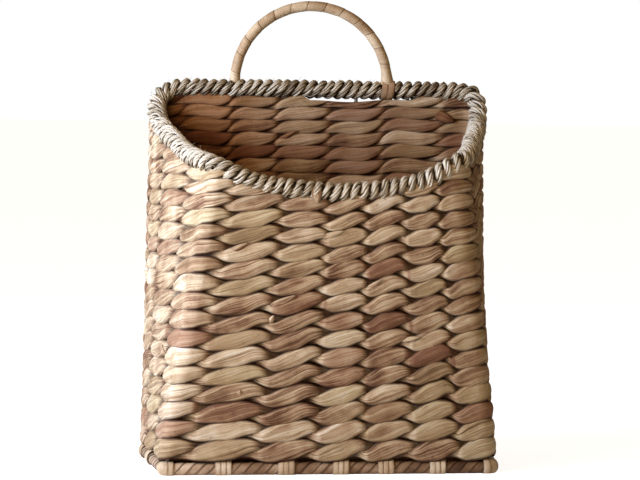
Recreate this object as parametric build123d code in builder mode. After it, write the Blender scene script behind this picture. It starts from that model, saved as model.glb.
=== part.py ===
from build123d import *
import math
import os

os.makedirs("parts", exist_ok=True)

# Woven wall basket. Z is up, the open front faces -Y and the straight back is towards +Y.
# All sizes in millimetres. Wall sizes are to the middle of the wall, and the middle of the
# back wall is at Y = 0 until the finished pieces are moved to the origin.

# Body
base_front_width = 303
base_back_width = 325
base_depth = 142
top_front_width = 200
top_back_width = 316
top_depth = 178
top_side_bows = {-1: 9, 1: 5}  # left and right
top_lean = 3  # the rim stands this much to the right of the base
front_corner_radius_base = 8
front_corner_radius_top = 22
back_corner_radius = 14
wall_thickness = 13

# Weave
row_count = 22
row_pitch_bottom = 17.5
row_pitch_top = 11.6
row_pitch_easing = 1.5
row_gap = 0.3
first_row_height = 14
stake_diameter = 3.5
stake_clearance = 0.3

# Stakes: places in the front and back from -1 left to 1 right, in the sides from the back
front_stake_places = (-0.65, -0.27, 0.065, 0.34, 0.66)
back_stake_places = (-0.65, -0.4, -0.1, 0.24, 0.56)
side_stake_places = {-1: (0.2, 0.5), 1: (0.36, 0.74)}

# Rim: heights of the rim wire, at the corners and at even steps along the sides and front
rim_back_height = 352
rim_back_corner_heights = {-1: 343, 1: 348}
rim_shoulder_height = 323
rim_shoulder_place = 0.13
rim_side_heights_left = (309, 291)
rim_side_heights_right = (313, 299)
rim_corner_height_left = 281
rim_corner_height_right = 288
rim_front_heights = (268, 262.5, 260, 263, 271)
rim_wire_diameter = 5
rim_roll_diameter = 17.5

# Base frame
base_wire_diameter = 5
base_roll_diameter = 12
base_roll_flat = 0.5
base_groove_diameter = 8.6
foot_wrap_width = 15
foot_wrap_diameter = 13.6
foot_wrap_top = 13.7

# Floor
floor_rows = 7
floor_thickness = 9
floor_wire_diameter = 3.5

# Hanging loop
loop_span = 148
loop_middle = -3
loop_rise = 80
loop_wire_diameter = 5
loop_diameter = 10
lashing_width = 12
lashing_diameter = 18.5

# Fits and origin
clearance = 0.3
origin_setback = 85.1

base_wire_height = base_roll_diameter / 2 - base_roll_flat
base_top = base_roll_diameter - base_roll_flat


def between(low, high, height):
    """Size at a height, between its value at the base and at the back rim."""
    share = (height - base_top) / (rim_back_height - base_top)
    return low + (high - low) * share


def half_back(height):
    return between(base_back_width, top_back_width, height) / 2


def half_front(height):
    return between(base_front_width, top_front_width, height) / 2


def depth(height):
    return between(base_depth, top_depth, height)


def side_bow(hand, height):
    return between(0.4, top_side_bows[hand], height)


def front_radius(height):
    return between(front_corner_radius_base, front_corner_radius_top, height)


def back_point(place, height):
    """Point in the back wall; place runs from -1 at the left corner to 1 at the right."""
    return Vector(place * half_back(height) + between(0, top_lean, height), 0, height)


def front_point(place, height):
    across = place * half_front(height) + between(0, top_lean, height)
    return Vector(across, -depth(height), height)


def side_point(hand, place, height):
    """Point in a side wall; hand is -1 left or 1 right, place runs from the back to the front."""
    back = back_point(hand, height)
    front = front_point(hand, height)
    run = front - back
    outward = Vector(-hand * run.Y, hand * run.X, 0).normalized()
    return back + run * place + outward * (side_bow(hand, height) * 4 * place * (1 - place))


def corner_point(corner, first, second, radius):
    """Middle of a rounded corner between the directions to its two neighbours."""
    first_way = (first - corner).normalized()
    second_way = (second - corner).normalized()
    half_angle = math.radians(first_way.get_angle(second_way)) / 2
    inward = (first_way + second_way).normalized()
    return corner + inward * (radius / math.sin(half_angle) - radius)


def front_corner_point(hand, height):
    return corner_point(
        front_point(hand, height),
        front_point(0, height),
        side_point(hand, 0.7, height),
        front_radius(height),
    )


def back_corner_point(hand, height):
    return corner_point(
        back_point(hand, height),
        back_point(0, height),
        side_point(hand, 0.3, height),
        back_corner_radius,
    )


def wall_outline(height, grow):
    """Plan of the basket at a height, grown or shrunk from the middle of the wall."""
    with BuildSketch(Plane.XY.offset(height)) as outline:
        with BuildLine():
            back_left = back_point(-1, height)
            back_right = back_point(1, height)
            front_left = front_point(-1, height)
            front_right = front_point(1, height)
            Line((back_left.X, back_left.Y), (back_right.X, back_right.Y))
            middle = side_point(1, 0.5, height)
            ThreePointArc(
                (back_right.X, back_right.Y),
                (middle.X, middle.Y),
                (front_right.X, front_right.Y),
            )
            Line((front_right.X, front_right.Y), (front_left.X, front_left.Y))
            ThreePointArc(
                (front_left.X, front_left.Y),
                (-middle.X, middle.Y),
                (back_left.X, back_left.Y),
            )
        make_face()
        fillet(outline.vertices().sort_by(Axis.Y)[:2], radius=front_radius(height))
        fillet(outline.vertices().sort_by(Axis.Y)[-2:], radius=back_corner_radius)
        if grow:
            offset(amount=grow)
    return outline.sketch


def rod_along(path, diameter, bore=0):
    """Round bar along an edge or wire, or a tube if it has a bore."""
    with BuildPart() as rod:
        with BuildSketch(Plane(origin=path @ 0, z_dir=path % 0)):
            Circle(diameter / 2)
            if bore:
                Circle(bore / 2, mode=Mode.SUBTRACT)
        sweep(path=path)
    return rod.part


def joined_rod(edges, diameter, bore=0):
    """One bar or tube along edges that meet end to end."""
    with BuildPart() as joined:
        for edge in edges:
            add(rod_along(edge, diameter, bore))
    return joined.part


def straight_rod(start, end, diameter):
    with BuildPart() as rod:
        with BuildSketch(Plane(origin=start, z_dir=end - start)):
            Circle(diameter / 2)
        extrude(amount=(end - start).length)
    return rod.part


def save(part, label):
    """Write one piece, moved so that the origin lies under the middle of the basket."""
    placed = part.moved(Location((0, origin_setback, 0)))
    placed.label = label
    export_step(placed, f"parts/{label}.step")


# Rim line, starting at the right leg of the hanging loop and running clockwise seen from above
right_leg = loop_middle + loop_span / 2
left_leg = loop_middle - loop_span / 2
lashing_half = lashing_width / 2
front_steps = (-2 / 3, -1 / 3, 0, 1 / 3, 2 / 3)
side_steps = (1 / 3, 2 / 3)

rim_right = [
    back_point(0.55, rim_back_height),
    back_point(0.72, rim_back_height),
    back_point(0.86, rim_back_height - 0.7),
    back_corner_point(1, rim_back_corner_heights[1]),
    side_point(1, rim_shoulder_place, rim_shoulder_height),
]
for place, height in zip(side_steps, rim_side_heights_right):
    rim_right.append(side_point(1, place, height))
rim_right.append(front_corner_point(1, rim_corner_height_right))

rim_front = []
for place, height in zip(front_steps, rim_front_heights):
    rim_front.insert(0, front_point(place, height))

rim_left = [front_corner_point(-1, rim_corner_height_left)]
for place, height in zip(reversed(side_steps), reversed(rim_side_heights_left)):
    rim_left.append(side_point(-1, place, height))
rim_left.append(side_point(-1, rim_shoulder_place, rim_shoulder_height))
rim_left.append(back_corner_point(-1, rim_back_corner_heights[-1]))
rim_left.append(back_point(-0.86, rim_back_height - 0.7))
rim_left.append(back_point(-0.72, rim_back_height))
rim_left.append(back_point(-0.5, rim_back_height))
rim_left.append(back_point(0, rim_back_height))


def rim_line(half_gap):
    """Line of the rim in four spans, open by a gap at the right leg."""
    start = Vector(right_leg + half_gap, 0, rim_back_height)
    end = Vector(right_leg - half_gap, 0, rim_back_height)
    line = Spline([start] + rim_right + rim_front + rim_left + [end])
    return [line.trim(span / 4, (span + 1) / 4) for span in range(4)]


# Base frame line in plan, as its straights and corners
base_drop = Location((0, 0, base_wire_height - base_top))
base_edges = wall_outline(base_top, 0).moved(base_drop).edges()
corner_edges = base_edges.filter_by(lambda edge: edge.length < base_depth / 4)

# Stakes: feet on the base wire, heads just under the rim wire
foot_height = base_wire_height + base_wire_diameter / 2 + clearance
rim_samples = [span @ (step / 200) for span in rim_line(0.5) for step in range(200)]


def head_under_rim(foot, head):
    """Point on a stake's line where its end clears the underside of the rim wire."""
    gaps = [math.hypot(point.X - head.X, point.Y - head.Y) for point in rim_samples]
    nearest = min(range(1, len(gaps) - 1), key=gaps.__getitem__)
    run = rim_samples[nearest + 1] - rim_samples[nearest - 1]
    slope = abs(run.Z) / math.hypot(run.X, run.Y)
    drop = (rim_wire_diameter / 2 + clearance) * math.hypot(1, slope)
    drop += stake_diameter / 2 * slope
    way = (head - foot).normalized()
    return foot + way * ((rim_samples[nearest].Z - drop - foot.Z) / way.Z)


stakes = {}
for number, place in enumerate(front_stake_places, start=1):
    head = front_point(place, rim_front_heights[number - 1])
    foot = front_point(place, foot_height)
    stakes[f"front_stake_{number}"] = (foot, head_under_rim(foot, head))
for hand, side, heights, corner_height in (
    (-1, "left", rim_side_heights_left, rim_corner_height_left),
    (1, "right", rim_side_heights_right, rim_corner_height_right),
):
    for number, place in enumerate(side_stake_places[hand], start=1):
        head = side_point(hand, place, heights[number - 1])
        foot = side_point(hand, place, foot_height)
        stakes[f"{side}_stake_{number}"] = (foot, head_under_rim(foot, head))
    foot = front_corner_point(hand, foot_height)
    head = front_corner_point(hand, corner_height)
    stakes[f"front_{side}_corner_stake"] = (foot, head_under_rim(foot, head))
    foot = back_corner_point(hand, foot_height)
    head = back_corner_point(hand, rim_back_corner_heights[hand])
    stakes[f"back_{side}_corner_stake"] = (foot, head_under_rim(foot, head))

back_stake_ends = []
for place in back_stake_places:
    foot = back_point(place, foot_height)
    head = back_point(place, rim_back_height)
    back_stake_ends.append((foot, head_under_rim(foot, head)))

stake_holes = []
for foot, head in list(stakes.values()) + back_stake_ends:
    reach = (head - foot).normalized() * (clearance + 0.2)
    hole = straight_rod(foot - reach, head + reach, stake_diameter + 2 * stake_clearance)
    stake_holes.append(hole)

for label, (foot, head) in stakes.items():
    with BuildPart() as stake:
        add(straight_rod(foot, head, stake_diameter))
    save(stake.part, label)

with BuildPart() as back_stakes:
    for foot, head in back_stake_ends:
        add(straight_rod(foot, head, stake_diameter))
save(back_stakes.part, "back_stakes")

# Rim wire, its cord wrapping and the strip lashing at the right leg
with BuildPart() as rim_wire:
    add(joined_rod(rim_line(0.5), rim_wire_diameter))
save(rim_wire.part, "rim_wire")

rim_line_wrapped = rim_line(lashing_half + clearance / 2)
rim_room = joined_rod(rim_line_wrapped, rim_roll_diameter + 2 * clearance)
left_leg_foot = Vector(left_leg, 0, rim_back_height)
right_leg_foot = Vector(right_leg, 0, rim_back_height)
leg_hole = rim_roll_diameter / 2 + clearance + 2

rim_bore = rim_wire_diameter + 2 * clearance
with BuildPart() as rim_wrap:
    add(joined_rod(rim_line_wrapped, rim_roll_diameter, rim_bore))
    add(
        straight_rod(
            left_leg_foot,
            left_leg_foot + Vector(0, 0, leg_hole),
            loop_wire_diameter + 2 * clearance,
        ),
        mode=Mode.SUBTRACT,
    )
    add(stake_holes, mode=Mode.SUBTRACT)
save(rim_wrap.part, "rim_wrap")

with BuildPart() as loop_lashing:
    with BuildSketch(Plane.YZ.offset(right_leg - lashing_half)):
        with Locations((0, rim_back_height)):
            Circle(lashing_diameter / 2)
            Circle(rim_bore / 2, mode=Mode.SUBTRACT)
    extrude(amount=lashing_width)
    with BuildSketch(Plane.XY.offset(rim_back_height)):
        with Locations((right_leg, 0)):
            Circle(loop_wire_diameter / 2 + clearance)
    extrude(amount=lashing_diameter, mode=Mode.SUBTRACT)
save(loop_lashing.part, "loop_lashing")

# Hanging loop: bent wire with its strip wrapping
loop_radius = loop_span / 2
loop_spring = rim_back_height + loop_rise - loop_radius


def loop_line(foot):
    """Line of the hanging loop, both feet at one height."""
    with BuildLine() as line:
        Line((left_leg, 0, foot), (left_leg, 0, loop_spring))
        ThreePointArc(
            (left_leg, 0, loop_spring),
            (loop_middle, 0, loop_spring + loop_radius),
            (right_leg, 0, loop_spring),
        )
        Line((right_leg, 0, loop_spring), (right_leg, 0, foot))
    return line.edges()


wire_foot = rim_back_height + rim_wire_diameter / 2 + clearance
with BuildPart() as loop_wire:
    add(joined_rod(loop_line(wire_foot), loop_wire_diameter))
save(loop_wire.part, "loop_wire")

with BuildPart() as loop_wrap:
    loop_bore = loop_wire_diameter + 2 * clearance
    add(joined_rod(loop_line(wire_foot), loop_diameter, loop_bore))
    add(rim_room, mode=Mode.SUBTRACT)
    with BuildSketch(Plane.YZ.offset(right_leg - lashing_width)):
        with Locations((0, rim_back_height)):
            Circle(lashing_diameter / 2 + clearance)
    extrude(amount=2 * lashing_width, mode=Mode.SUBTRACT)
save(loop_wrap.part, "loop_wrap")

# Base frame: ring wire, and floor wires running front to back in its plane
with BuildPart() as base_wire:
    add(joined_rod(base_edges, base_wire_diameter))
save(base_wire.part, "base_wire")

floor_wire_inset = base_wire_diameter / 2 + clearance
floor_wire_ends = []
for front_place, back_place in zip(front_stake_places, back_stake_places):
    start = Vector(
        front_place * half_front(base_top), floor_wire_inset - base_depth, base_wire_height
    )
    end = Vector(back_place * half_back(base_top), -floor_wire_inset, base_wire_height)
    floor_wire_ends.append((start, end))

with BuildPart() as floor_wires:
    for start, end in floor_wire_ends:
        add(straight_rod(start, end, floor_wire_diameter))
save(floor_wires.part, "floor_wires")

floor_wire_holes = []
for start, end in floor_wire_ends:
    hole = straight_rod(start, end, floor_wire_diameter + 2 * clearance)
    floor_wire_holes.append(hole)


def foot_place(point, along, width, profile):
    """Solid of a profile, set across the base roll at a stake's foot."""
    plane = Plane(
        origin=Vector(point.X, point.Y, base_wire_height) - along * (width / 2),
        x_dir=Vector(0, 0, 1).cross(along),
        z_dir=along,
    )
    with BuildPart() as solid:
        with BuildSketch(plane):
            profile()
        extrude(amount=width)
    return solid.part


def foot_wrap_profile():
    radius = foot_wrap_diameter / 2
    rise = foot_wrap_top - base_wire_height - radius
    Circle(radius)
    with Locations((0, rise)):
        Circle(radius)
    with Locations((0, rise / 2)):
        Rectangle(foot_wrap_diameter, rise)
    Circle(base_groove_diameter / 2, mode=Mode.SUBTRACT)


def groove_profile():
    Circle(foot_wrap_diameter)
    Circle(groove_core / 2, mode=Mode.SUBTRACT)


across = Vector(1, 0, 0)
foot_sets = {
    "front_foot_wraps": [(front_point(place, base_top), across) for place in front_stake_places],
    "back_foot_wraps": [(back_point(place, base_top), across) for place in back_stake_places],
}
for hand, side in ((-1, "left"), (1, "right")):
    along = (front_point(hand, base_top) - back_point(hand, base_top)).normalized()
    foot_sets[f"{side}_foot_wraps"] = [
        (side_point(hand, place, base_top), along) for place in side_stake_places[hand]
    ]

with BuildPart() as below_floor:
    Box(
        2 * base_back_width,
        4 * base_depth,
        base_roll_diameter,
        align=(Align.CENTER, Align.CENTER, Align.MAX),
    )

for label, feet in foot_sets.items():
    with BuildPart() as foot_wraps:
        for point, along in feet:
            add(foot_place(point, along, foot_wrap_width, foot_wrap_profile))
        add(below_floor.part, mode=Mode.SUBTRACT)
        add(stake_holes, mode=Mode.SUBTRACT)
        add(floor_wire_holes, mode=Mode.SUBTRACT)
    save(foot_wraps.part, label)

with BuildPart() as corner_foot_wraps:
    for edge in corner_edges:
        add(rod_along(edge, foot_wrap_diameter, base_groove_diameter))
    add(below_floor.part, mode=Mode.SUBTRACT)
    add(stake_holes, mode=Mode.SUBTRACT)
save(corner_foot_wraps.part, "corner_foot_wraps")

groove_width = foot_wrap_width + 2 * clearance
groove_core = base_groove_diameter - 2 * clearance
base_bore = base_wire_diameter + 2 * clearance
with BuildPart() as base_wrap:
    add(joined_rod(base_edges, base_roll_diameter, base_bore))
    for feet in foot_sets.values():
        for point, along in feet:
            groove = foot_place(point, along, groove_width, groove_profile)
            add(groove, mode=Mode.SUBTRACT)
    for edge in corner_edges:
        groove = rod_along(edge, 2 * base_roll_diameter, groove_core)
        add(groove, mode=Mode.SUBTRACT)
    add(below_floor.part, mode=Mode.SUBTRACT)
    add(stake_holes, mode=Mode.SUBTRACT)
    add(floor_wire_holes, mode=Mode.SUBTRACT)
save(base_wrap.part, "base_wrap")

# Woven floor, in rows running side to side over the floor wires
floor_inset = foot_wrap_diameter / 2 + clearance
floor_back = -floor_inset
floor_pitch = (base_depth - 2 * floor_inset) / floor_rows
floor_low = base_wire_height - floor_thickness / 2
for number in range(floor_rows):
    row_back = floor_back - number * floor_pitch
    with BuildPart() as floor_row:
        with BuildSketch(Plane.XY.offset(floor_low)):
            add(
                wall_outline(base_top, -floor_inset).moved(
                    Location((0, 0, floor_low - base_top))
                )
            )
            with Locations((0, row_back - floor_pitch / 2)):
                Rectangle(
                    2 * base_back_width, floor_pitch - row_gap, mode=Mode.INTERSECT
                )
        extrude(amount=floor_thickness)
        add(floor_wire_holes, mode=Mode.SUBTRACT)
    save(floor_row.part, f"floor_row_{number + 1}")

# Woven wall rows, from the base up; the upper ones end where the rim falls below them
row_heights = [first_row_height]
for number in range(row_count):
    share = (number / (row_count - 1)) ** row_pitch_easing
    pitch = row_pitch_bottom + (row_pitch_top - row_pitch_bottom) * share
    row_heights.append(row_heights[-1] + pitch)

half_wall = wall_thickness / 2
lowest_rim = min(rim_front_heights) - rim_roll_diameter / 2 - clearance
for number in range(row_count):
    low = row_heights[number] + row_gap / 2
    high = row_heights[number + 1] - row_gap / 2
    with BuildPart() as full_row:
        loft(sections=[wall_outline(low, half_wall), wall_outline(high, half_wall)])
        loft(
            sections=[wall_outline(low, -half_wall), wall_outline(high, -half_wall)],
            mode=Mode.SUBTRACT,
        )
        add(stake_holes, mode=Mode.SUBTRACT)
        if high > lowest_rim:
            add(rim_room, mode=Mode.SUBTRACT)
    with BuildPart() as weft_row:
        add(full_row.part.solids().sort_by(Axis.Y)[-1])
    save(weft_row.part, f"weft_row_{number + 1:02d}")
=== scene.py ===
import math

import bpy
import numpy as np
from mathutils import Matrix, Vector


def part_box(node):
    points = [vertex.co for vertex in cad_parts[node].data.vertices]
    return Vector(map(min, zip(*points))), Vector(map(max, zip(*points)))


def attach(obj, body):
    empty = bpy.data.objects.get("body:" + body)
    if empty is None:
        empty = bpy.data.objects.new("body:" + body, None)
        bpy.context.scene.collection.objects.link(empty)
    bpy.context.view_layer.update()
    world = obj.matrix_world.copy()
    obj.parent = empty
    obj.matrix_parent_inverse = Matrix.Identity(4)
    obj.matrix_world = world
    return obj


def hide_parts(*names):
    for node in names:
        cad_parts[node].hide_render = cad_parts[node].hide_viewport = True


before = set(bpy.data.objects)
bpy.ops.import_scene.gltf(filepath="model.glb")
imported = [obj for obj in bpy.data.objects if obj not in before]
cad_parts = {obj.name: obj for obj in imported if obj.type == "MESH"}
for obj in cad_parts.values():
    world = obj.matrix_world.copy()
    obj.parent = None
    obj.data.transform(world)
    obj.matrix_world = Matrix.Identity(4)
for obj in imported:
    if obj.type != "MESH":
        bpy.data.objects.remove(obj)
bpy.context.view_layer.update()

# Woven wall basket: water hyacinth twined round wire stakes, a rim wound with seagrass cord, a
# base frame wound with strip, and a hanging loop. Metres; the back wall is towards +Y.
mm = 0.001

# Body: plan sizes to the middle of the wall, at the base and at the back rim
base_front_width = 303 * mm
base_back_width = 325 * mm
base_depth = 142 * mm
top_front_width = 200 * mm
top_back_width = 316 * mm
top_depth = 178 * mm
base_side_bow = 0.4 * mm
top_side_bows = {-1: 9 * mm, 1: 5 * mm}
top_lean = 3 * mm
front_corner_radius_base = 8 * mm
front_corner_radius_top = 22 * mm
back_corner_radius = 14 * mm
wall_back = 85.1 * mm
base_top = 11.5 * mm

# Stakes, counted from the front left corner to the right and round. Places run from -1 left to
# 1 right in the front and back, and from the back to the front in the sides.
front_stakes = [-0.65, -0.27, 0.065, 0.34, 0.66]
back_stakes = [-0.65, -0.4, -0.1, 0.24, 0.56]
side_stakes = {-1: [0.2, 0.5], 1: [0.36, 0.74]}
stake_count = 18
front_middle = 3
front_corner_right = 6
corner_lead = 10 * mm  # the strands are fullest this much before the front corners
plan_points = 2400

# Shares of the wire's corner radius that the strands bend round, left and right
front_corner_shares = {-1: 0.15, 1: 0.8}
back_corner_shares_base = {-1: 1.45, 1: 0.9}
back_corner_shares_top = {-1: 0.3, 1: 0.9}

# Rim line
rim_height = 352 * mm
rim_back_corner_heights = {-1: 343 * mm, 1: 348 * mm}
rim_shoulder_place = 0.13
rim_shoulder_height = 323 * mm
rim_dip = 0.7 * mm  # of the back rim before its corners
rim_side_steps = [1 / 3, 2 / 3]
rim_front_steps = [-2 / 3, -1 / 3, 0, 1 / 3, 2 / 3]
rim_side_heights = {-1: [309 * mm, 291 * mm], 1: [313 * mm, 299 * mm]}
rim_corner_heights = {-1: 281 * mm, 1: 288 * mm}
rim_front_heights = [268 * mm, 262.5 * mm, 260 * mm, 263 * mm, 271 * mm]
rim_roll_radius = 8.75 * mm
rim_gap = 9.6 * mm  # the top row falls away from the back rim by this much, seen as a thin gap
rim_gap_middle = 10.9  # counted in stakes, and so are its reach and the slope at its ends
rim_gap_reach = 4.2 / 3.4
rim_gap_slope = 3.4

# Hanging loop
loop_span = 148 * mm
loop_middle = -3 * mm
loop_rise = 80 * mm
lashing_width = 12 * mm

# Base frame
base_wire_height = 5.5 * mm
base_roll_radius = 6 * mm
base_strips = 3

up = np.array([0.0, 0.0, 1.0])


# Shapes of the wall ----------


def unit(vectors):
    return vectors / np.linalg.norm(vectors, axis=-1, keepdims=True)


def between(low, high, height):
    """Size at a height, between its value at the base and at the back rim."""
    return low + (high - low) * (height - base_top) / (rim_height - base_top)


def blend(first, second, share):
    return first + (second - first) * share


def distances(line):
    """How far along a line each of its points is."""
    return np.append(0, np.cumsum(np.linalg.norm(np.diff(line, axis=0), axis=1)))


def sampled(at, known, points):
    """Points at some distances along a line whose points are given at known distances."""
    return np.stack([np.interp(at, known, points[:, axis]) for axis in range(3)], axis=-1)


def half_back(height):
    return between(base_back_width, top_back_width, height) / 2


def half_front(height):
    return between(base_front_width, top_front_width, height) / 2


def back_point(place, height):
    """Point in the back wall; place runs from -1 at the left corner to 1 at the right."""
    across = place * half_back(height) + between(0, top_lean, height)
    return np.array([across, wall_back, height])


def front_point(place, height):
    across = place * half_front(height) + between(0, top_lean, height)
    return np.array([across, wall_back - between(base_depth, top_depth, height), height])


def side_point(hand, place, height):
    """Point in a side wall; hand is -1 left or 1 right, place runs from the back to the front."""
    back = back_point(hand, height)
    run = front_point(hand, height) - back
    outward = unit(np.array([-hand * run[1], hand * run[0], 0]))
    bow = between(base_side_bow, top_side_bows[hand], height)
    return back + run * place + outward * (bow * 4 * place * (1 - place))


def corner_curve(before, corner, after, radius, steps=13):
    """Points round a corner between the ways to its two neighbours."""
    to_before = unit(before - corner)
    to_after = unit(after - corner)
    half_angle = math.acos(to_before @ to_after) / 2
    reach = 2 * radius * (1 / math.sin(half_angle) - 1) / math.cos(half_angle)
    share = np.linspace(0, 1, steps)[:, None]
    start = corner + to_before * reach
    end = corner + to_after * reach
    return start * (1 - share) ** 2 + corner * 2 * share * (1 - share) + end * share**2


def front_corner(hand, height, share=1.0):
    radius = share * between(front_corner_radius_base, front_corner_radius_top, height)
    curve = corner_curve(
        side_point(hand, 0.7, height), front_point(hand, height), front_point(0, height), radius
    )
    return curve[::-hand]


def back_corner(hand, height, share=1.0):
    radius = share * back_corner_radius
    curve = corner_curve(
        back_point(0, height), back_point(hand, height), side_point(hand, 0.3, height), radius
    )
    return curve[::-hand]


def corner_middle(curve):
    return curve[len(curve) // 2]


def wall_plan(height):
    """Closed line in the middle of the wall at a height, and how far along it each stake stands."""
    fronts, backs, sides = {}, {}, {}
    for hand in (-1, 1):
        fronts[hand] = front_corner(hand, height, front_corner_shares[hand])
        share = between(back_corner_shares_base[hand], back_corner_shares_top[hand], height)
        backs[hand] = back_corner(hand, height, share)
        sides[hand] = [side_point(hand, place, height) for place in np.linspace(0.2, 0.8, 25)]
    half = len(fronts[-1]) // 2
    line = np.vstack([
        fronts[-1][half:], fronts[1], sides[1][::-1], backs[1], backs[-1], sides[-1],
        fronts[-1][: half + 1],
    ])
    length = distances(line)
    fine = np.linspace(0, length[-1], plan_points)
    fine_line = sampled(fine, length, line)
    stakes = [corner_middle(fronts[-1])]
    stakes += [front_point(place, height) for place in front_stakes]
    stakes += [corner_middle(fronts[1])]
    stakes += [side_point(1, place, height) for place in reversed(side_stakes[1])]
    stakes += [corner_middle(backs[1])]
    stakes += [back_point(place, height) for place in reversed(back_stakes)]
    stakes += [corner_middle(backs[-1])]
    stakes += [side_point(-1, place, height) for place in side_stakes[-1]]
    marks = [0.0]
    for stake in stakes[1:]:
        marks.append(fine[np.argmin(np.linalg.norm(fine_line - stake, axis=1))])
    marks.append(fine[-1])
    return fine, fine_line, np.array(marks)


def wall_points(places, height):
    """Points in the middle of the wall at stake places, which may be fractions, and how far
    round it they are."""
    fine, line, marks = wall_plan(height)
    marks[[0, front_corner_right, stake_count]] -= corner_lead
    turn, part = np.divmod(np.asarray(places, float), stake_count)
    distance = np.interp(part, np.arange(stake_count + 1), marks)
    return sampled(distance % fine[-1], fine, line), distance + turn * fine[-1]


def smooth_line(points, spacing=1 * mm):
    """Evenly spaced points on the smooth curve that passes through all the given ones."""
    points = np.array(points)
    knots = distances(points)
    gap = np.diff(knots)
    count = len(points)
    matrix = np.eye(count)
    bend = np.zeros((count, 3))
    for i in range(1, count - 1):
        matrix[i, i - 1 : i + 2] = gap[i - 1], 2 * (gap[i - 1] + gap[i]), gap[i]
        rise = (points[i + 1] - points[i]) / gap[i] - (points[i] - points[i - 1]) / gap[i - 1]
        bend[i] = 6 * rise
    second = np.linalg.solve(matrix, bend)
    at = np.linspace(0, knots[-1], 4000)
    i = np.clip(np.searchsorted(knots, at) - 1, 0, count - 2)
    a = ((knots[i + 1] - at) / gap[i])[:, None]
    b = 1 - a
    square = (gap[i] ** 2)[:, None] / 6
    line = a * points[i] + b * points[i + 1]
    line += ((a**3 - a) * second[i] + (b**3 - b) * second[i + 1]) * square
    return evenly(line, spacing)


def evenly(line, spacing):
    """The same line with its points evenly spaced."""
    length = distances(line)
    return sampled(np.linspace(0, length[-1], int(length[-1] / spacing) + 1), length, line)


right_leg = loop_middle + loop_span / 2
left_leg = loop_middle - loop_span / 2


def rim_side(hand):
    """Points of the rim line from a back corner to the front corner of that side."""
    points = [corner_middle(back_corner(hand, rim_back_corner_heights[hand]))]
    points += [side_point(hand, rim_shoulder_place, rim_shoulder_height)]
    steps = zip(rim_side_steps, rim_side_heights[hand])
    points += [side_point(hand, place, height) for place, height in steps]
    return points + [corner_middle(front_corner(hand, rim_corner_heights[hand]))]


def rim_points():
    """Points of the rim line, from the right leg of the loop clockwise seen from above."""
    gap = 0.5 * mm
    points = [np.array([right_leg + gap, wall_back, rim_height])]
    points += [back_point(place, rim_height) for place in (0.55, 0.72)]
    points += [back_point(0.86, rim_height - rim_dip), *rim_side(1)]
    steps = zip(rim_front_steps, rim_front_heights)
    points += [front_point(place, height) for place, height in steps][::-1]
    points += [*rim_side(-1)[::-1], back_point(-0.86, rim_height - rim_dip)]
    points += [back_point(place, rim_height) for place in (-0.72, -0.5, 0)]
    return points + [np.array([right_leg - gap, wall_back, rim_height])]


rim_line = smooth_line(rim_points())


def rim_above(points):
    """Height of the rim line over points of the wall."""
    gap = np.linalg.norm(points[:, None, :2] - rim_line[None, ::3, :2], axis=2)
    return rim_line[::3][np.argmin(gap, axis=1), 2]


# Meshes ----------


class Tubes:
    """Gathers tubes for one piece. A tube is a row of rings of points, with a length along it,
    a girth round it and named values at its points that its material reads."""

    def __init__(self):
        self.points = []
        self.faces = []
        self.flat_uv = []
        self.values = {}
        self.count = 0

    def add(self, rings, along, girth, closed=False, twist=0.0, **values):
        count, around, _ = rings.shape
        spans = np.arange(count if closed else count - 1)
        i, j = np.meshgrid(spans, np.arange(around), indexing="ij")
        i_next = (i + 1) % count
        j_next = (j + 1) % around
        corners = [(i, j), (i_next, j), (i_next, j_next), (i, j_next)]
        quads = np.stack([a * around + b for a, b in corners], axis=-1).reshape(-1, 4)
        ends = np.append(along, 2 * along[-1] - along[-2])
        step = girth / around
        u = np.stack([ends[i], ends[i + 1], ends[i + 1], ends[i]], axis=-1)
        v = np.stack([j, j, j + 1, j + 1], axis=-1) * step - twist * u
        points = rings.reshape(-1, 3)
        a, b, c, d = (points[quads[:, k]] for k in range(4))
        volume = np.einsum("ij,ij->", np.cross(a, b), c) + np.einsum("ij,ij->", np.cross(a, c), d)
        order = [0, 1, 2, 3] if volume > 0 else [0, 3, 2, 1]
        self.faces += (quads[:, order] + self.count).tolist()
        uv = np.stack([u, v], axis=-1).reshape(-1, 4, 2)[:, order]
        self.flat_uv.append(uv.reshape(-1, 2))
        if not closed:
            first = list(range(around))
            last = list(range((count - 1) * around, count * around))
            caps = [first[::-1], last] if volume < 0 else [first, last[::-1]]
            probe = points[caps[0]]
            facing = np.cross(probe[1] - probe[0], probe[2] - probe[1])
            if facing @ (probe.mean(axis=0) - rings[1].mean(axis=0)) < 0:
                caps = [cap[::-1] for cap in caps]
            for cap in caps:
                self.faces.append([k + self.count for k in cap])
                self.flat_uv.append(np.tile([[0.0, 0.0]], (around, 1)))
        self.points.append(points)
        for name, value in values.items():
            filled = np.broadcast_to(value, (count, around)).reshape(-1)
            self.values.setdefault(name, []).append(filled)
        self.count += len(points)

    def piece(self, name, material, slot, *nodes):
        """Make the piece. It rides on the basket and stands for the named nodes."""
        mesh = bpy.data.meshes.new(name)
        mesh.from_pydata(np.vstack(self.points).tolist(), [], self.faces)
        layer = mesh.uv_layers.new(name="fibre")
        layer.data.foreach_set("uv", np.vstack(self.flat_uv).astype(np.float32).ravel())
        for key, value in self.values.items():
            attribute = mesh.attributes.new(key, "FLOAT", "POINT")
            attribute.data.foreach_set("value", np.concatenate(value).astype(np.float32))
        mesh.polygons.foreach_set("use_smooth", np.ones(len(mesh.polygons), bool))
        mesh.materials.append(material)
        made = bpy.data.objects.new(name, mesh)
        bpy.context.scene.collection.objects.link(made)
        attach(made, "root")
        if nodes:
            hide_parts(*nodes)
        return made


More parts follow.
